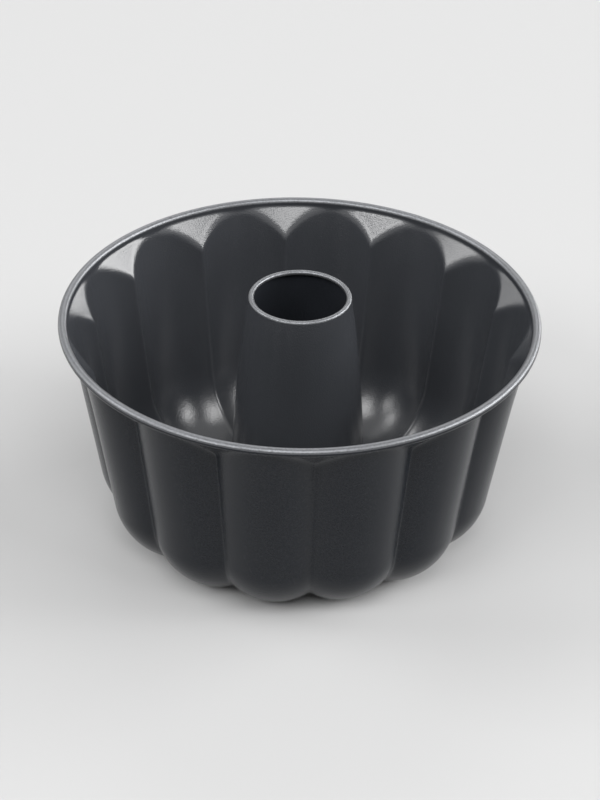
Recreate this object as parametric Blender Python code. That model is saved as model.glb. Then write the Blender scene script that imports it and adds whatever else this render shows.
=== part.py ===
"""Fluted tube pan: a drawn sheet steel shell with a ring of round lobes, a wire rolled into its
rim, and a hollow centre tube whose foot is folded over a collar in the middle of the floor.

Metres, +Z up. The origin is on the pan's axis, in the plane of the flat spots it stands on.
A lobe's middle lies on +X, and the ridges between the lobes run up the inside of the wall.
"""
import math

import bmesh
import bpy

# Sheet metal shared by the shell and the tube
SHEET = 0.0007              # thickness of the coated steel
GAP = 0.0003                # clearance between pieces that touch

# Rolled rim
RIM_RADIUS = 0.1080         # pan's axis to the middle of the roll
BEAD_RADIUS = 0.0020        # outside radius of the roll
ROLL_EDGE = -115.0          # free edge of the roll, in degrees from outward towards up
NECK_DROP = 0.0015          # upright neck, from the middle of the roll down

# Lobes and the ridges between them, on the food side
LOBES = 14
PAN_DEPTH = 0.1064          # middle of the roll down to the ridges' floor
SHOULDER_DROP = 0.0140      # middle of the roll down to the ridges' top ends
SHOULDER_WIDTH = 0.0102     # neck in to the ridges' top ends
WALL_TAPER = math.radians(7.2)
CORNER_RADIUS = 0.0308      # ridge's bend from wall to floor
LOBE_DEPTH_TOP = 0.0074     # lobe's middle beyond the ridges, beside the ridges' top ends
LOBE_DEPTH_FOOT = 0.0055    # the same at the foot of the straight wall
FLARE_LENGTH = 0.0330       # stretch below the neck where the lobes' middles curve out to it
FOOT_FLAT = 0.0004          # depth of the flat spot pressed on each lobe's bottom
FOOT_SNAP = 0.00002         # sheet that lies this close to the table is flat on it
FOOT_LENGTH = 0.0040        # length of the flat spot, inward from the end of the bend

# Centre tube, on its food side
TUBE_BASE_RADIUS = 0.0321
TUBE_TOP_RADIUS = 0.0236
TUBE_BOW = 0.0020           # bulge of the wall beyond a straight cone, halfway up
TUBE_RISE = 0.00935         # middle of the tube's lip above the middle of the pan's roll
LIP_RADIUS = 0.00125        # outside radius of the tube's rolled lip
LIP_EDGE = 225.0            # free edge of the lip, in degrees from outward towards up

# Seam between shell and tube
COLLAR_LENGTH = 0.0030      # shell's collar, from the flat ring down to its edge
COLLAR_BEND = 0.0012        # bend from the ring into the collar
RING_WIDTH = 0.0030         # flat ring round the collar
FADE_LENGTH = 0.0100        # stretch outside the ring where the lobes flatten out
HEM_LIFT = 0.0002           # folded hem's lowest point above the table

# Facets
COLUMNS_PER_LOBE = 7        # odd, so that a flat facet runs along each lobe's middle
TUBE_COLUMNS = 48
WIRE_SIDES = 8
ROLL_STEPS = 6              # from the roll's underside to the neck
LIP_STEPS = 5
CORNER_STEPS = 7
TUBE_WALL_STEPS = 7
SHARP_EDGE = math.radians(40.0)
HALVINGS = 40               # enough to place an arch within a nanometre

HALF_LOBE = math.pi / LOBES
SHELL_COLUMNS = LOBES * COLUMNS_PER_LOBE
NECK_RADIUS = RIM_RADIUS - BEAD_RADIUS
RIDGE_RADIUS = NECK_RADIUS - SHOULDER_WIDTH

# Heights above the ridges' floor
NECK_HEIGHT = PAN_DEPTH - NECK_DROP
SHOULDER_HEIGHT = PAN_DEPTH - SHOULDER_DROP
CORNER_TURN = math.pi / 2 - WALL_TAPER
CORNER_REACH = CORNER_RADIUS * math.tan(CORNER_TURN / 2)
WALL_FOOT = CORNER_REACH * math.cos(WALL_TAPER)


def on_circle(centre, radius, degrees):
    """Point (r, z) on a circle, at an angle counted from outward towards up."""
    angle = math.radians(degrees)
    return (centre[0] + radius * math.cos(angle), centre[1] + radius * math.sin(angle))


def arc(centre, radius, start, end, steps):
    """Points (r, z) on an arc from one angle to another in degrees, both ends included."""
    angles = [start + (end - start) * step / steps for step in range(steps + 1)]
    return [on_circle(centre, radius, angle) for angle in angles]


def ease(share):
    """Rises from 0 to 1, level at both ends."""
    return share * share * (3.0 - 2.0 * share)


def ridge_radius(height):
    """Ridge's distance from the axis on the straight wall, carried on up to the neck."""
    return RIDGE_RADIUS - (SHOULDER_HEIGHT - height) * math.tan(WALL_TAPER)


CORNER_END = ridge_radius(WALL_FOOT) - CORNER_RADIUS * math.cos(WALL_TAPER)


def straight_depth(height):
    """Lobe's middle beyond the ridges, before it flares."""
    share = (height - WALL_FOOT) / (SHOULDER_HEIGHT - WALL_FOOT)
    return LOBE_DEPTH_FOOT + (LOBE_DEPTH_TOP - LOBE_DEPTH_FOOT) * share


FLARE = NECK_RADIUS - ridge_radius(NECK_HEIGHT) - straight_depth(NECK_HEIGHT)


def wall_depth(height):
    """Lobe's middle beyond the ridges, flared so that it meets the neck."""
    share = max(0.0, 1.0 - (NECK_HEIGHT - height) / FLARE_LENGTH)
    return straight_depth(height) + FLARE * share ** 2


def bulge(turn, ridge, depth):
    """Lobe beyond the ridges' circle, at an angle turned away from the lobe's middle.

    A lobe's section is a circular arc through its middle and the ridges on its two sides.
    """
    rise = ridge + depth - ridge * math.cos(HALF_LOBE)
    half_chord = ridge * math.sin(HALF_LOBE)
    radius = (half_chord ** 2 + rise ** 2) / (2.0 * rise)
    centre = ridge + depth - radius
    reach = math.sqrt(radius ** 2 - (centre * math.sin(turn)) ** 2)
    return centre * math.cos(turn) + reach - ridge


def lobe_radius(turn, height):
    """Lobe's distance from the axis on the wall."""
    ridge = ridge_radius(height)
    return ridge + bulge(turn, ridge, wall_depth(height))


def shoulder_radius(height):
    """Sloping shoulder from the neck down to the ridges' top ends."""
    share = (NECK_HEIGHT - height) / (NECK_HEIGHT - SHOULDER_HEIGHT)
    return NECK_RADIUS - SHOULDER_WIDTH * share


def arch_height(turn):
    """Height where a lobe comes out of the shoulder, found by halving."""
    low = SHOULDER_HEIGHT
    high = NECK_HEIGHT
    for _ in range(HALVINGS):
        middle = (low + high) / 2.0
        if lobe_radius(turn, middle) > shoulder_radius(middle):
            low = middle
        else:
            high = middle
    return high


def column_turn(column):
    """Angle between a column and the middle of its lobe; each lobe's first column is a ridge."""
    place = column % COLUMNS_PER_LOBE
    return HALF_LOBE * (2.0 * place / COLUMNS_PER_LOBE - 1.0)


TURNS = [column_turn(column) for column in range(SHELL_COLUMNS)]


def level_ring(point):
    """Row of the shell that is a plain circle."""
    return [point] * SHELL_COLUMNS


def wall_ring(height):
    """Row of the shell on the shoulder or the straight wall."""
    shoulder = 0.0
    if height >= SHOULDER_HEIGHT:
        shoulder = shoulder_radius(height)
    return [(max(shoulder, lobe_radius(turn, height)), height) for turn in TURNS]


def floor_ring(ridge, height, tilt, fade):
    """Row of the shell past the straight wall, where the lobes bulge more and more downward."""
    depth = LOBE_DEPTH_FOOT * ridge / ridge_radius(WALL_FOOT)
    ring = []
    for turn in TURNS:
        out = bulge(turn, ridge, depth) * fade
        ring.append((ridge + out * math.cos(tilt), height - out * math.sin(tilt)))
    return ring


def corner_rings():
    """Rows round the bend from wall to floor, without the one at the wall's foot."""
    middle = (CORNER_END, CORNER_RADIUS)
    bend = arc(middle, CORNER_RADIUS, -math.degrees(WALL_TAPER), -90.0, CORNER_STEPS)
    rings = []
    for step in range(1, CORNER_STEPS + 1):
        ridge, height = bend[step]
        rings.append(floor_ring(ridge, height, math.pi / 2 * step / CORNER_STEPS, 1.0))
    return rings


def lobe_drop():
    """How far a lobe's middle dips below the ridges' floor at its lowest."""
    return max(-height for ring in corner_rings() for _, height in ring)


# Heights above the table
LIFT = lobe_drop() + SHEET - FOOT_FLAT
RIM_HEIGHT = PAN_DEPTH + LIFT
TUBE_TOP_HEIGHT = RIM_HEIGHT + TUBE_RISE
HEM_FLOOR = HEM_LIFT + SHEET
COLLAR_EDGE = HEM_FLOOR + GAP
RING_HEIGHT = COLLAR_EDGE + COLLAR_LENGTH

# Radii of the seam
COLLAR_RADIUS = TUBE_BASE_RADIUS + GAP
HEM_RADIUS = COLLAR_RADIUS + SHEET + GAP
RING_RADIUS = COLLAR_RADIUS + COLLAR_BEND + RING_WIDTH


def inner_rings():
    """Rows of the floor, where the lobes flatten out into the ring round the collar."""
    rings = [floor_ring(CORNER_END - FOOT_LENGTH, 0.0, math.pi / 2, 1.0)]
    for share in (1.0, 0.5, 0.0):
        ridge = RING_RADIUS + FADE_LENGTH * share
        height = (RING_HEIGHT - LIFT) * (1.0 - ease(share))
        rings.append(floor_ring(ridge, height, math.pi / 2, ease(share)))
    return rings


def shell_rings():
    """Rows of the shell's food side, from the hidden edge of the rim's roll to the collar's edge.

    The rows on the shoulder lie where the arches between shoulder and lobes cross the columns.
    """
    middle = (RIM_RADIUS, PAN_DEPTH)
    rings = [level_ring(on_circle(middle, BEAD_RADIUS, ROLL_EDGE))]
    rings += [level_ring(point) for point in arc(middle, BEAD_RADIUS, -90.0, 180.0, ROLL_STEPS)]
    rings.append(level_ring((NECK_RADIUS, NECK_HEIGHT)))
    for place in range(COLUMNS_PER_LOBE // 2 - 1, 0, -1):
        rings.append(wall_ring(arch_height(TURNS[place])))
    rings.append(wall_ring(SHOULDER_HEIGHT))
    rings.append(wall_ring((SHOULDER_HEIGHT + WALL_FOOT) / 2.0))
    rings.append(wall_ring(WALL_FOOT))
    rings += corner_rings()
    rings += inner_rings()
    bend = (COLLAR_RADIUS + COLLAR_BEND, RING_HEIGHT - COLLAR_BEND - LIFT)
    rings += [level_ring(point) for point in arc(bend, COLLAR_BEND, 90.0, 180.0, 2)]
    rings.append(level_ring((COLLAR_RADIUS, COLLAR_EDGE - LIFT)))
    return [[(radius, max(height + LIFT, SHEET)) for radius, height in ring] for ring in rings]


def tube_rings():
    """Rows of the tube's food side, from the hem's edge up to the lip's hidden edge.

    The hem runs down round the shell's collar and under it before the wall rises.
    """
    points = [
        (HEM_RADIUS, RING_HEIGHT - SHEET - GAP),
        (HEM_RADIUS, COLLAR_EDGE),
        (HEM_RADIUS - GAP, HEM_FLOOR),
        (TUBE_BASE_RADIUS + GAP, HEM_FLOOR),
        (TUBE_BASE_RADIUS, COLLAR_EDGE),
    ]
    for step in range(TUBE_WALL_STEPS):
        share = step / TUBE_WALL_STEPS
        bow = 4.0 * TUBE_BOW * share * (1.0 - share)
        radius = TUBE_BASE_RADIUS + (TUBE_TOP_RADIUS - TUBE_BASE_RADIUS) * share + bow
        points.append((radius, RING_HEIGHT + (TUBE_TOP_HEIGHT - RING_HEIGHT) * share))
    lip_middle = (TUBE_TOP_RADIUS - LIP_RADIUS, TUBE_TOP_HEIGHT)
    points += arc(lip_middle, LIP_RADIUS, 0.0, LIP_EDGE, LIP_STEPS)
    return [[point] * TUBE_COLUMNS for point in points]


def steel(name, colour, roughness, metallic):
    """Plain material for one finish."""
    material = bpy.data.materials.new(name)
    material.use_nodes = True
    shader = material.node_tree.nodes["Principled BSDF"]
    shader.inputs["Base Color"].default_value = (*colour, 1.0)
    shader.inputs["Roughness"].default_value = roughness
    shader.inputs["Metallic"].default_value = metallic
    return material


def ring_points(mesh, ring):
    """One vertex for each column of a row, starting on a ridge."""
    points = []
    for column, (radius, height) in enumerate(ring):
        angle = 2.0 * math.pi * column / len(ring) - HALF_LOBE
        points.append(mesh.verts.new((radius * math.cos(angle), radius * math.sin(angle), height)))
    return points


def sheet_metal(name, rings, arches):
    """Closed body: a skin through the rows, thickened away from the food side.

    With arches, each facet is split along the way that the arches over the lobes run.
    """
    skin = bmesh.new()
    rows = [ring_points(skin, ring) for ring in rings]
    columns = len(rings[0])
    for upper, lower in zip(rows, rows[1:]):
        for column in range(columns):
            after = (column + 1) % columns
            facet = (upper[column], upper[after], lower[after], lower[column])
            rising = column * LOBES / columns % 1.0 < 0.5
            if not arches:
                skin.faces.new(facet)
            elif rising:
                skin.faces.new((facet[0], facet[1], facet[3]))
                skin.faces.new((facet[1], facet[2], facet[3]))
            else:
                skin.faces.new((facet[0], facet[1], facet[2]))
                skin.faces.new((facet[0], facet[2], facet[3]))
    skin.normal_update()
    bmesh.ops.solidify(skin, geom=skin.faces[:], thickness=SHEET)
    for vertex in skin.verts:
        if vertex.co.z < FOOT_SNAP:
            vertex.co.z = 0.0
    return finished(name, skin)


def round_wire(name):
    """Closed ring of wire inside the rim's roll, clear of the sheet all round."""
    wire = bmesh.new()
    wire_radius = BEAD_RADIUS - SHEET - GAP
    section = arc((RIM_RADIUS, RIM_HEIGHT), wire_radius, 0.0, 360.0, WIRE_SIDES)[:-1]
    rows = [ring_points(wire, level_ring(point)) for point in section]
    for side in range(WIRE_SIDES):
        here = rows[side]
        there = rows[(side + 1) % WIRE_SIDES]
        for column in range(SHELL_COLUMNS):
            after = (column + 1) % SHELL_COLUMNS
            wire.faces.new((here[column], here[after], there[after], there[column]))
    return finished(name, wire)


def finished(name, piece):
    """Mesh of a piece, smooth but for its real edges."""
    mesh = bpy.data.meshes.new(name)
    piece.to_mesh(mesh)
    piece.free()
    mesh.shade_smooth()
    mesh.set_sharp_from_angle(angle=SHARP_EDGE)
    return mesh


def add_piece(mesh, material):
    """Puts a piece into the scene under its mesh's name."""
    mesh.materials.append(material)
    piece = bpy.data.objects.new(mesh.name, mesh)
    bpy.context.collection.objects.link(piece)


for old in list(bpy.data.objects):
    bpy.data.objects.remove(old, do_unlink=True)

coated_steel = steel("coated_steel", (0.045, 0.046, 0.050), 0.35, 0.2)
bare_steel = steel("bare_steel", (0.50, 0.50, 0.50), 0.35, 1.0)
add_piece(sheet_metal("fluted_shell", shell_rings(), arches=True), coated_steel)
add_piece(sheet_metal("centre_tube", tube_rings(), arches=False), coated_steel)
add_piece(round_wire("rim_wire"), bare_steel)
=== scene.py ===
"""Looks of the fluted tube pan: dark non-stick steel on a plain pale floor."""

import math

import bmesh
import bpy
import numpy as np
from mathutils import Matrix, Vector


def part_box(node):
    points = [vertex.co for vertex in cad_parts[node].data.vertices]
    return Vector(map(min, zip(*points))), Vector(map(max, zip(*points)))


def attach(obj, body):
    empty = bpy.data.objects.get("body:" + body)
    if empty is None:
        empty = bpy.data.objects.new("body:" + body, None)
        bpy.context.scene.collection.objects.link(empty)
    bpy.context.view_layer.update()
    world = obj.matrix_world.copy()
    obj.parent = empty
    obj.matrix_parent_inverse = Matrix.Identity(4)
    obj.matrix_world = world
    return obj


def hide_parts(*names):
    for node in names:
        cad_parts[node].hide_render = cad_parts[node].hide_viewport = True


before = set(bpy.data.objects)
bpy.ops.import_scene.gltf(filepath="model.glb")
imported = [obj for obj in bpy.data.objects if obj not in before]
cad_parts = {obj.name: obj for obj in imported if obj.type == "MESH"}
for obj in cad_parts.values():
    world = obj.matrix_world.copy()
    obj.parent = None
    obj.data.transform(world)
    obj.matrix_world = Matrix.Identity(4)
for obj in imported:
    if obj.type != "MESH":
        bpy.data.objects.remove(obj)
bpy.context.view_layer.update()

# Fluted shell: one sheet of steel drawn into fourteen round lobes, with dark non-stick on the food
# side and lacquer outside, whose far darker colour is painted shade. Its edge is rolled outward
# round a wire and has a painted highlight of lighter metal on top, and the hole in its floor is
# turned down into a short collar that holds the centre tube's foot.
SHEET = 0.0007
BEAD_RADIUS = 0.0020
ROLL_EDGE = -115.0          # free edge of the roll, in degrees from outward towards up
NECK_DROP = 0.0015          # the drops and the depth are from the middle of the rim's roll
SHOULDER_DROP = 0.0140
PAN_DEPTH = 0.1064
LOBES = 14
RIDGE_RADIUS = 0.0958
WALL_TAPER = math.radians(7.2)
CORNER_RADIUS = 0.0308
LOBE_DEPTH_TOP = 0.0074
LOBE_DEPTH_FOOT = 0.0055
FLARE_LENGTH = 0.0330
TUBE_BASE_RADIUS = 0.0321
SEAM_GAP = 0.0003
COLLAR_DROP = 0.0030
COLLAR_BEND = 0.0012
RING_WIDTH = 0.0030
RING_HEIGHT = 0.0042        # height of the flat ring round the collar above the table
FADE_LENGTH = 0.0100
RIDGE_ROUNDING = 0.0016
ARCH_ROUNDING = 0.0018
NECK_ROUNDING = 0.0005
FOOT_ROUNDING = 0.0002
COLUMNS_PER_LOBE = 26
CLOSE_FROM = 0.0005         # rows lie close together from this far below the neck
CLOSE_TO = 0.0020           # to this far below the shoulder
SHARP_ANGLE = 40.0
ROLL_HIGHLIGHT = (20.0, 180.0)   # angles on the roll between which lighter metal is painted as a highlight
HIGHLIGHT_FADE = 20.0            # degrees over which the painted highlight sets in

shell_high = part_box("fluted_shell")[1]
rim_radius = shell_high.y - BEAD_RADIUS
rim_height = shell_high.z - BEAD_RADIUS
neck_radius = rim_radius - BEAD_RADIUS
neck_height = rim_height - NECK_DROP
shoulder_height = rim_height - SHOULDER_DROP
ridge_floor = rim_height - PAN_DEPTH
half_lobe = math.pi / LOBES
corner_turn = math.pi / 2 - WALL_TAPER
corner_reach = CORNER_RADIUS * math.tan(corner_turn / 2)
wall_foot = ridge_floor + corner_reach * math.cos(WALL_TAPER)
collar_radius = TUBE_BASE_RADIUS + SEAM_GAP
ring_radius = collar_radius + COLLAR_BEND + RING_WIDTH


def rounded_max(one, other, rounding):
    """Greater of two values, blended where they are closer than the rounding."""
    near = np.clip(1.0 - np.abs(one - other) / rounding, 0.0, None)
    return np.maximum(one, other) + near ** 2 * rounding / 4.0


def ease(share):
    """Rises from 0 to 1, level at both ends."""
    share = np.clip(share, 0.0, 1.0)
    return share * share * (3.0 - 2.0 * share)


def ridge_radius(height):
    """Ridge's distance from the axis on the straight wall."""
    return RIDGE_RADIUS - (shoulder_height - height) * math.tan(WALL_TAPER)


def straight_depth(height):
    """Lobe's middle beyond the ridges, before it flares."""
    share = (height - wall_foot) / (shoulder_height - wall_foot)
    return LOBE_DEPTH_FOOT + (LOBE_DEPTH_TOP - LOBE_DEPTH_FOOT) * share


def lobe_arc(turn, ridge, depth):
    """Distance from the axis of one lobe's circular section."""
    rise = ridge + depth - ridge * math.cos(half_lobe)
    half_chord = ridge * math.sin(half_lobe)
    radius = (half_chord ** 2 + rise ** 2) / (2.0 * rise)
    centre = ridge + depth - radius
    inside = np.clip(radius ** 2 - (centre * np.sin(turn)) ** 2, 0.0, None)
    return centre * np.cos(turn) + np.sqrt(inside)


def bulge(turn, ridge, depth):
    """Lobes beyond the ridges' circle, with the ridge between neighbours rounded over."""
    own = lobe_arc(turn, ridge, depth)
    neighbour = lobe_arc(2.0 * half_lobe - np.abs(turn), ridge, depth)
    return rounded_max(own, neighbour, RIDGE_ROUNDING) - ridge


# Columns crowd together towards the ridges, where the sheet bends most.
steps = np.arange(COLUMNS_PER_LOBE) / COLUMNS_PER_LOBE
lobe_turns = half_lobe * np.sin(math.pi * (steps - 0.5))
turns = np.tile(lobe_turns, LOBES)
angles = turns + np.repeat(2.0 * half_lobe * np.arange(LOBES), COLUMNS_PER_LOBE)
flare = neck_radius - ridge_radius(neck_height) - straight_depth(neck_height)


def wall_row(height):
    """Row round the neck, the sloping shoulder and the straight wall."""
    ridge = ridge_radius(height)
    share = max(0.0, 1.0 - (neck_height - height) / FLARE_LENGTH)
    lobes = ridge + bulge(turns, ridge, straight_depth(height) + flare * share ** 2)
    slope = (neck_height - height) / (neck_height - shoulder_height)
    shoulder = neck_radius + (RIDGE_RADIUS - neck_radius) * slope
    wall = rounded_max(lobes, shoulder, ARCH_ROUNDING)
    return -rounded_max(-wall, -neck_radius, NECK_ROUNDING), np.full_like(turns, height)


def floor_row(ridge, height, tilt, fade):
    """Row round the bend or the floor, where the lobes bulge more and more downward."""
    out = bulge(turns, ridge, LOBE_DEPTH_FOOT * ridge / ridge_radius(wall_foot)) * fade
    return ridge + out * math.cos(tilt), height - out * math.sin(tilt)


def on_circle(middle, radius, degrees):
    """Points (r, z) on a circle, at angles counted from outward towards up."""
    angle = np.radians(degrees)
    return middle[0] + radius * np.cos(angle), middle[1] + radius * np.sin(angle)


def round_rows(radii, heights):
    """Plain circular rows through the points of a profile."""
    return [(np.full_like(turns, radius), np.full_like(turns, height))
            for radius, height in zip(radii, heights)]


def stations(*marks):
    """Values from mark to mark, each stretch cut into its own number of steps."""
    values = [marks[0]]
    for cuts, mark in zip(marks[1::2], marks[2::2]):
        values += list(np.linspace(values[-1], mark, cuts + 1)[1:])
    return values


def painted_highlight(degrees, highlit):
    """Share of painted highlight, lighter metal, along a rolled edge."""
    return [float(ease((angle - highlit[0]) / HIGHLIGHT_FADE) * ease((highlit[1] - angle) / HIGHLIGHT_FADE))
            for angle in degrees]


# The roll, from its free edge under the rim, over the wire and to the neck.
roll_angles = stations(ROLL_EDGE, 26, 180.0)
rows = round_rows(*on_circle((rim_radius, rim_height), BEAD_RADIUS, roll_angles))

# Neck, shoulder and wall.
close_top = neck_height - CLOSE_FROM
close_end = shoulder_height - CLOSE_TO
flare_end = neck_height - FLARE_LENGTH
for height in stations(rim_height, 6, close_top, 30, close_end, 12, flare_end, 12, wall_foot)[1:]:
    rows.append(wall_row(height))

# The bend from the wall to the floor.
corner_middle = ridge_radius(wall_foot) - CORNER_RADIUS * math.cos(WALL_TAPER)
for share in stations(0.0, 22, 1.0)[1:]:
    angle = -WALL_TAPER - corner_turn * share
    ridge = corner_middle + CORNER_RADIUS * math.cos(angle)
    height = ridge_floor + CORNER_RADIUS * (1.0 + math.sin(angle))
    rows.append(floor_row(ridge, height, math.pi / 2 * share, 1.0))

# The floor, where the lobes fade out before the flat ring, and the collar.
fade_start = ring_radius + FADE_LENGTH
for ridge in stations(corner_middle, 5, fade_start, 12, ring_radius)[1:]:
    fade = float(ease((ridge - ring_radius) / FADE_LENGTH))
    height = ridge_floor + (RING_HEIGHT - ridge_floor) * (1.0 - fade)
    rows.append(floor_row(ridge, height, math.pi / 2, fade))
bend_middle = (collar_radius + COLLAR_BEND, RING_HEIGHT - COLLAR_BEND)
rows += round_rows(*on_circle(bend_middle, COLLAR_BEND, stations(90.0, 5, 180.0)))
rows += round_rows([collar_radius], [RING_HEIGHT - COLLAR_DROP])

# The lobes' lowest parts are pressed flat, so that the sheet under them stands on the table.
rows = [(radii, rounded_max(heights, SHEET, FOOT_ROUNDING)) for radii, heights in rows]


def sheet_piece(name, rows, highlit, angles, outer_bands):
    """Closed sheet of metal: the food side through the rows, thickened away from it. The other
    side and the first bands of faces take the second finish."""
    skin = bmesh.new()
    highlight_layer = skin.verts.layers.float.new("painted_highlight")
    grid = []
    # Each row's share of painted highlight goes into a layer that the coating reads.
    for (radii, heights), highlight_share in zip(rows, highlit):
        points = zip(radii * np.cos(angles), radii * np.sin(angles), heights)
        grid.append([skin.verts.new(point) for point in points])
        for vertex in grid[-1]:
            vertex[highlight_layer] = highlight_share
    for index, (upper, lower) in enumerate(zip(grid, grid[1:])):
        for column in range(len(angles)):
            after = (column + 1) % len(angles)
            face = skin.faces.new((upper[column], upper[after], lower[after], lower[column]))
            face.material_index = 1 if index < outer_bands else 0
    skin.normal_update()
    outer_side = bmesh.ops.solidify(skin, geom=skin.faces[:], thickness=SHEET)["geom"]
    for face in outer_side:
        if isinstance(face, bmesh.types.BMFace):
            face.material_index = 1
    # The thickening lists the faces along the free edges in no fixed order, so all are sorted.
    skin.verts.index_update()
    ordered = sorted(skin.faces, key=lambda face: sorted(corner.index for corner in face.verts))
    for place, face in enumerate(ordered):
        face.index = place
    skin.faces.sort()

    # Nothing reaches below the table.
    for vertex in skin.verts:
        vertex.co.z = max(vertex.co.z, 0.0)
    mesh = bpy.data.meshes.new(name)
    skin.to_mesh(mesh)
    skin.free()
    mesh.shade_smooth()
    mesh.set_sharp_from_angle(angle=math.radians(SHARP_ANGLE))
    piece = bpy.data.objects.new(name, mesh)
    bpy.context.scene.collection.objects.link(piece)
    return piece


# The roll's top carries a painted highlight of lighter metal.
roll_highlight = painted_highlight(roll_angles, ROLL_HIGHLIGHT)
shell_highlight = roll_highlight + [0.0] * (len(rows) - len(roll_highlight))
roll_underside = sum(angle < 0.0 for angle in roll_angles)
shell = sheet_piece("shell_sheet", rows, shell_highlight, angles, roll_underside)

CLOUD_SCALE = 14.0
FLECK_SCALE = 1100.0
PEEL_SCALE = 1500.0
PEEL_DEPTH = 0.0001
# Painted highlight: lighter, metallic and rougher metal on the tops of the rolled edges.
HIGHLIGHT_METAL = (0.212, 0.218, 0.23, 1.0)
HIGHLIGHT_METALLIC = 0.9
HIGHLIGHT_ROUGHNESS = 0.40
HIGHLIGHT_LEAST = 0.5            # how strong the painted highlight is between its flecks
NOISE_LOW = 0.3             # most values of a noise lie between these
NOISE_HIGH = 0.7


def coating(name, dark, light, fleck_share, refraction, smooth, dull):
    """Dark coating, sprayed on and baked: satin, with orange peel, faint clouds and a share of
    fine flecks in its colour, and lighter metal in flecks as a painted highlight where the piece
    says so."""
    material = bpy.data.materials.new(name)
    material.use_nodes = True
    nodes = material.node_tree.nodes
    links = material.node_tree.links
    shader = nodes["Principled BSDF"]
    shader.inputs["IOR"].default_value = refraction
    place = nodes.new("ShaderNodeTexCoord")

    def noise(scale, detail):
        texture = nodes.new("ShaderNodeTexNoise")
        texture.inputs["Scale"].default_value = scale
        texture.inputs["Detail"].default_value = detail
        links.new(place.outputs["Object"], texture.inputs["Vector"])
        return texture.outputs["Fac"]

    def ramp(value, start, end, low=NOISE_LOW, high=NOISE_HIGH):
        blend = nodes.new("ShaderNodeMapRange")
        blend.inputs["From Min"].default_value = low
        blend.inputs["From Max"].default_value = high
        blend.inputs["To Min"].default_value = start
        blend.inputs["To Max"].default_value = end
        links.new(value, blend.inputs["Value"])
        return blend.outputs["Result"]

    peel = noise(PEEL_SCALE, 2.0)
    clouds = noise(CLOUD_SCALE, 3.0)
    flecks = noise(FLECK_SCALE, 1.0)
    shade = nodes.new("ShaderNodeMix")
    shade.inputs["Factor"].default_value = fleck_share
    links.new(clouds, shade.inputs["A"])
    links.new(flecks, shade.inputs["B"])
    colour = nodes.new("ShaderNodeMix")
    colour.data_type = "RGBA"
    colour.inputs["A"].default_value = dark
    colour.inputs["B"].default_value = light
    links.new(ramp(shade.outputs["Result"], 0.0, 1.0), colour.inputs["Factor"])
    # Painted highlight: lighter metal mixed in in flecks where the piece marks it.
    highlight_mask = nodes.new("ShaderNodeAttribute")
    highlight_mask.attribute_name = "painted_highlight"
    highlight_share = nodes.new("ShaderNodeMath")
    highlight_share.operation = "MULTIPLY"
    links.new(highlight_mask.outputs["Fac"], highlight_share.inputs[0])
    links.new(ramp(flecks, HIGHLIGHT_LEAST, 1.0), highlight_share.inputs[1])
    highlit = nodes.new("ShaderNodeMix")
    highlit.data_type = "RGBA"
    links.new(highlight_share.outputs["Value"], highlit.inputs["Factor"])
    links.new(colour.outputs["Result"], highlit.inputs["A"])
    highlit.inputs["B"].default_value = HIGHLIGHT_METAL
    links.new(highlit.outputs["Result"], shader.inputs["Base Color"])
    metallic = ramp(highlight_share.outputs["Value"], 0.0, HIGHLIGHT_METALLIC, low=0.0, high=1.0)
    links.new(metallic, shader.inputs["Metallic"])
    gloss = nodes.new("ShaderNodeMix")
    links.new(highlight_share.outputs["Value"], gloss.inputs["Factor"])
    links.new(ramp(clouds, smooth, dull), gloss.inputs["A"])
    gloss.inputs["B"].default_value = HIGHLIGHT_ROUGHNESS
    links.new(gloss.outputs["Result"], shader.inputs["Roughness"])
    bump = nodes.new("ShaderNodeBump")
    bump.inputs["Strength"].default_value = 1.0
    bump.inputs["Distance"].default_value = PEEL_DEPTH
    links.new(peel, bump.inputs["Height"])
    links.new(bump.outputs["Normal"], shader.inputs["Normal"])
    return material


nonstick = coating("dark_nonstick",
                   dark=(0.045, 0.048, 0.054, 1.0), light=(0.051, 0.054, 0.061, 1.0),
                   fleck_share=0.0, refraction=1.78, smooth=0.17, dull=0.21)
# The outside's lacquer takes a far darker colour than the food side: painted shade on the pan's
# outside.
lacquer_painted_shade = coating("outer_lacquer_painted_shade",
                  dark=(0.003, 0.005, 0.009, 1.0), light=(0.011, 0.013, 0.017, 1.0),
                  fleck_share=0.9, refraction=1.34, smooth=0.17, dull=0.21)
shell.data.materials.append(nonstick)
shell.data.materials.append(lacquer_painted_shade)
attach(shell, "root")
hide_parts("fluted_shell")

# Centre tube: a hollow cone of the same coated sheet, pressed with a slight bow, with painted
# shade in a darker copy of the coating on its inside. Its top edge is rolled inward into a smooth
# lip that has a painted highlight of lighter metal on top, and its foot is folded under and round
# the shell's collar.
TUBE_TOP_RADIUS = 0.0236
TUBE_BOW = 0.0020
LIP_RADIUS = 0.00125
LIP_EDGE = 225.0
LIP_HIGHLIGHT = (-8.0, 225.0)
HEM_FLOOR = 0.0009          # height of the folded foot above the table, inside the fold
TUBE_COLUMNS = 180

tube_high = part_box("centre_tube")[1]
tube_top = tube_high.z - LIP_RADIUS
hem_radius = collar_radius + SHEET + SEAM_GAP
hem_top = RING_HEIGHT - SHEET - SEAM_GAP
tube_foot = HEM_FLOOR + SEAM_GAP

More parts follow.
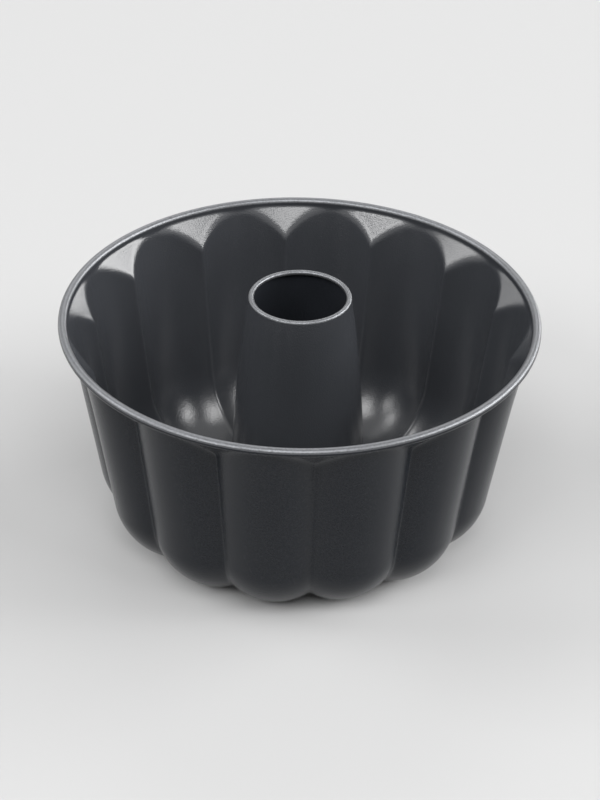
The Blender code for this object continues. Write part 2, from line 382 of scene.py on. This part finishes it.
# The profile starts at the hem's upper edge, outside the collar.
profile = [(hem_radius, height) for height in stations(hem_top, 3, tube_foot)]
outer_bend = on_circle((hem_radius - SEAM_GAP, tube_foot), SEAM_GAP, stations(0.0, 4, -90.0))
inner_middle = (TUBE_BASE_RADIUS + SEAM_GAP, tube_foot)
inner_bend = on_circle(inner_middle, SEAM_GAP, stations(-90.0, 4, -180.0))
profile += list(zip(*outer_bend))[1:] + list(zip(*inner_bend))
for share in stations(0.0, 48, 1.0):
    bow = 4.0 * TUBE_BOW * share * (1.0 - share)
    radius = TUBE_BASE_RADIUS + (TUBE_TOP_RADIUS - TUBE_BASE_RADIUS) * share + bow
    profile.append((radius, RING_HEIGHT + (tube_top - RING_HEIGHT) * share))
lip_middle = (TUBE_TOP_RADIUS - LIP_RADIUS, tube_top)
lip_angles = stations(0.0, 20, LIP_EDGE)[1:]
# The lip's top carries a painted highlight of lighter metal.
tube_highlight = [0.0] * len(profile) + painted_highlight(lip_angles, LIP_HIGHLIGHT)
profile += list(zip(*on_circle(lip_middle, LIP_RADIUS, lip_angles)))
tube_angles = np.arange(TUBE_COLUMNS) * 2.0 * math.pi / TUBE_COLUMNS
ones = np.ones(TUBE_COLUMNS)
tube_rows = [(radius * ones, height * ones) for radius, height in profile]
tube = sheet_piece("tube_sheet", tube_rows, tube_highlight, tube_angles, 0)
# The bore's coat is a darker, rougher copy of the non-stick: painted shade inside the tube.
bore_shade_coat = coating("bore_shade_coat",
                     dark=(0.026, 0.029, 0.035, 1.0), light=(0.031, 0.034, 0.041, 1.0),
                     fleck_share=0.0, refraction=1.40, smooth=0.30, dull=0.36)
tube.data.materials.append(nonstick)
tube.data.materials.append(bore_shade_coat)
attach(tube, "root")
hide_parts("centre_tube")

# Rim wire: a ring of bare drawn steel wire. The shell's edge is rolled round it, which keeps the
# rim round and stiff. It shows only in the gap under the roll.
DRAW_LENGTH = 0.002         # how far a turn of one radian counts in the drawn lines
LINE_SCALE = 9000.0
LINE_DEPTH = 0.000006
STAIN_SCALE = 700.0
STEEL_DARK = (0.50, 0.49, 0.47, 1.0)
STEEL_LIGHT = (0.62, 0.62, 0.61, 1.0)
STEEL_ROUGHNESS = (0.26, 0.46)


def drawn_steel():
    """Bare steel wire, with the fine lines that the drawing die leaves along it."""
    material = bpy.data.materials.new("wire_steel")
    material.use_nodes = True
    nodes = material.node_tree.nodes
    links = material.node_tree.links
    shader = nodes["Principled BSDF"]
    shader.inputs["Metallic"].default_value = 1.0
    place = nodes.new("ShaderNodeTexCoord")
    parts = nodes.new("ShaderNodeSeparateXYZ")
    links.new(place.outputs["Object"], parts.inputs["Vector"])

    def reckon(operation, first, second):
        node = nodes.new("ShaderNodeMath")
        node.operation = operation
        for value, socket in zip((first, second), node.inputs):
            if isinstance(value, float):
                socket.default_value = value
            else:
                links.new(value, socket)
        return node.outputs["Value"]

    def along_ring(scale, detail):
        """Noise drawn out along the ring, finer the larger its scale."""
        texture = nodes.new("ShaderNodeTexNoise")
        texture.inputs["Scale"].default_value = scale
        texture.inputs["Detail"].default_value = detail
        links.new(ring.outputs["Vector"], texture.inputs["Vector"])
        return texture.outputs["Fac"]

    across_x = reckon("MULTIPLY", parts.outputs["X"], parts.outputs["X"])
    across_y = reckon("MULTIPLY", parts.outputs["Y"], parts.outputs["Y"])
    distance = reckon("SQRT", reckon("ADD", across_x, across_y), 0.0)
    turn = reckon("ARCTAN2", parts.outputs["Y"], parts.outputs["X"])
    ring = nodes.new("ShaderNodeCombineXYZ")
    links.new(distance, ring.inputs["X"])
    links.new(parts.outputs["Z"], ring.inputs["Y"])
    links.new(reckon("MULTIPLY", turn, DRAW_LENGTH), ring.inputs["Z"])
    lines = along_ring(LINE_SCALE, 3.0)
    stain = along_ring(STAIN_SCALE, 4.0)
    tone = nodes.new("ShaderNodeMix")
    tone.data_type = "RGBA"
    tone.inputs["A"].default_value = STEEL_DARK
    tone.inputs["B"].default_value = STEEL_LIGHT
    links.new(stain, tone.inputs["Factor"])
    links.new(tone.outputs["Result"], shader.inputs["Base Color"])
    gloss = nodes.new("ShaderNodeMapRange")
    gloss.inputs["To Min"].default_value = STEEL_ROUGHNESS[0]
    gloss.inputs["To Max"].default_value = STEEL_ROUGHNESS[1]
    links.new(lines, gloss.inputs["Value"])
    links.new(gloss.outputs["Result"], shader.inputs["Roughness"])
    bump = nodes.new("ShaderNodeBump")
    bump.inputs["Distance"].default_value = LINE_DEPTH
    links.new(lines, bump.inputs["Height"])
    links.new(bump.outputs["Normal"], shader.inputs["Normal"])
    return material


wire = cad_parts["rim_wire"]
wire.data.materials.clear()
wire.data.materials.append(drawn_steel())

# Floor: a plain pale disc that the pan stands on. It is matt, and it reaches far out of the
# photograph's view on all sides.
FLOOR_RADIUS = 2.2
FLOOR_GREY = (0.62, 0.62, 0.62, 1.0)

bpy.ops.mesh.primitive_circle_add(vertices=96, radius=FLOOR_RADIUS, fill_type="NGON")
floor = bpy.context.object
floor.name = "floor"
pale = bpy.data.materials.new("pale_floor")
pale.use_nodes = True
pale_shader = pale.node_tree.nodes["Principled BSDF"]
pale_shader.inputs["Base Color"].default_value = FLOOR_GREY
pale_shader.inputs["Roughness"].default_value = 0.9
pale_shader.inputs["Specular IOR Level"].default_value = 0.0
floor.data.materials.append(pale)

# Light: an even dim sky, which the camera and the gloss see as a pale backdrop, and soft boxes
# all round the pan. Their reflections make the bright corners under the rim, and they stand far
# off, so that the floor is lit evenly.
SKY_FILL = 0.12
SKY_SEEN = 0.72
CAMERA_AZIMUTH = -94.68
BOX_DISTANCE = 8.0
BOX_AIM = 0.06              # height above the floor of the point that the lamps face

world = bpy.data.worlds.new("studio")
world.use_nodes = True
world_nodes = world.node_tree.nodes
world_links = world.node_tree.links
fill_light = world_nodes["Background"]
fill_light.inputs["Strength"].default_value = SKY_FILL
backdrop = world_nodes.new("ShaderNodeBackground")
backdrop.inputs["Strength"].default_value = SKY_SEEN
for background in (fill_light, backdrop):
    background.inputs["Color"].default_value = (1.0, 1.0, 1.0, 1.0)
rays = world_nodes.new("ShaderNodeLightPath")
seen = rays.outputs["Is Camera Ray"]
for ray in ("Is Glossy Ray", "Is Transmission Ray"):
    either = world_nodes.new("ShaderNodeMath")
    either.operation = "MAXIMUM"
    world_links.new(seen, either.inputs[0])
    world_links.new(rays.outputs[ray], either.inputs[1])
    seen = either.outputs["Value"]
blend = world_nodes.new("ShaderNodeMixShader")
world_links.new(seen, blend.inputs["Fac"])
world_links.new(fill_light.outputs["Background"], blend.inputs[1])
world_links.new(backdrop.outputs["Background"], blend.inputs[2])
world_links.new(blend.outputs["Shader"], world_nodes["World Output"].inputs["Surface"])
bpy.context.scene.world = world


def soft_box(name, side, elevation, width, height, radiance):
    """Area lamp that faces the pan. All angles are in degrees: its side is counted from the
    camera to the right, and its width and height are as seen from the pan."""
    lamp = bpy.data.lights.new(name, "AREA")
    lamp.shape = "RECTANGLE"
    lamp.size = 2.0 * BOX_DISTANCE * math.tan(math.radians(width / 2.0))
    lamp.size_y = 2.0 * BOX_DISTANCE * math.tan(math.radians(height / 2.0))
    lamp.energy = radiance * math.pi * lamp.size * lamp.size_y
    box = bpy.data.objects.new(name, lamp)
    turn = math.radians(CAMERA_AZIMUTH + side)
    lift = math.radians(elevation)
    flat = math.cos(lift)
    away = Vector((math.cos(turn) * flat, math.sin(turn) * flat, math.sin(lift)))
    box.location = Vector((0.0, 0.0, BOX_AIM)) + away * BOX_DISTANCE
    box.rotation_euler = away.to_track_quat("Z", "Y").to_euler()
    bpy.context.scene.collection.objects.link(box)


soft_box("front_box", side=3.0, elevation=54.0, width=30.0, height=28.0, radiance=4.6)
soft_box("left_front_box", side=-46.0, elevation=40.0, width=26.0, height=18.0, radiance=6.2)
soft_box("left_box", side=-98.0, elevation=36.0, width=27.0, height=32.0, radiance=3.6)
soft_box("left_back_box", side=-128.0, elevation=12.0, width=34.0, height=16.0, radiance=1.0)
soft_box("right_front_box", side=70.0, elevation=38.0, width=34.0, height=20.0, radiance=5.2)
soft_box("right_box", side=101.0, elevation=20.0, width=44.0, height=26.0, radiance=6.0)
soft_box("right_back_box", side=138.0, elevation=6.0, width=36.0, height=12.0, radiance=4.4)
soft_box("back_box", side=180.0, elevation=42.0, width=30.0, height=20.0, radiance=2.2)
soft_box("top_box", side=-130.0, elevation=62.0, width=60.0, height=20.0, radiance=0.5)

# Camera: it looks down at the pan from the front, as the photograph does, through a long lens,
# and is held a little out of level.
CAMERA_REACH = 0.7979       # from the pan's axis
CAMERA_RISE = 0.4942        # above the middle of the rim's roll
AIM_DROP = 0.04682          # point looked at, below the middle of the rim's roll
AIM_RIGHT = 0.00074         # and beside the pan's axis
CAMERA_ROLL = 0.01754       # in radians
LENS = 92.39
SENSOR_HEIGHT = 36.0

camera_turn = math.radians(CAMERA_AZIMUTH)
forward_flat = Vector((-math.cos(camera_turn), -math.sin(camera_turn), 0.0))
right_flat = Vector((forward_flat.y, -forward_flat.x, 0.0))
place = forward_flat * -CAMERA_REACH + Vector((0.0, 0.0, rim_height + CAMERA_RISE))
aim = right_flat * AIM_RIGHT + Vector((0.0, 0.0, rim_height - AIM_DROP))
forward = (aim - place).normalized()
right = forward.cross(Vector((0.0, 0.0, 1.0))).normalized()
up = right.cross(forward)
tilted_right = right * math.cos(CAMERA_ROLL) + up * math.sin(CAMERA_ROLL)
tilted_up = up * math.cos(CAMERA_ROLL) - right * math.sin(CAMERA_ROLL)
lens = bpy.data.cameras.new("camera")
lens.sensor_fit = "VERTICAL"
lens.sensor_height = SENSOR_HEIGHT
lens.lens = LENS
camera = bpy.data.objects.new("camera", lens)
turned = Matrix((tilted_right, tilted_up, -forward)).transposed()
camera.matrix_world = Matrix.Translation(place) @ turned.to_4x4()
bpy.context.scene.collection.objects.link(camera)
bpy.context.scene.camera = camera

bpy.context.scene.view_settings.view_transform = "Standard"
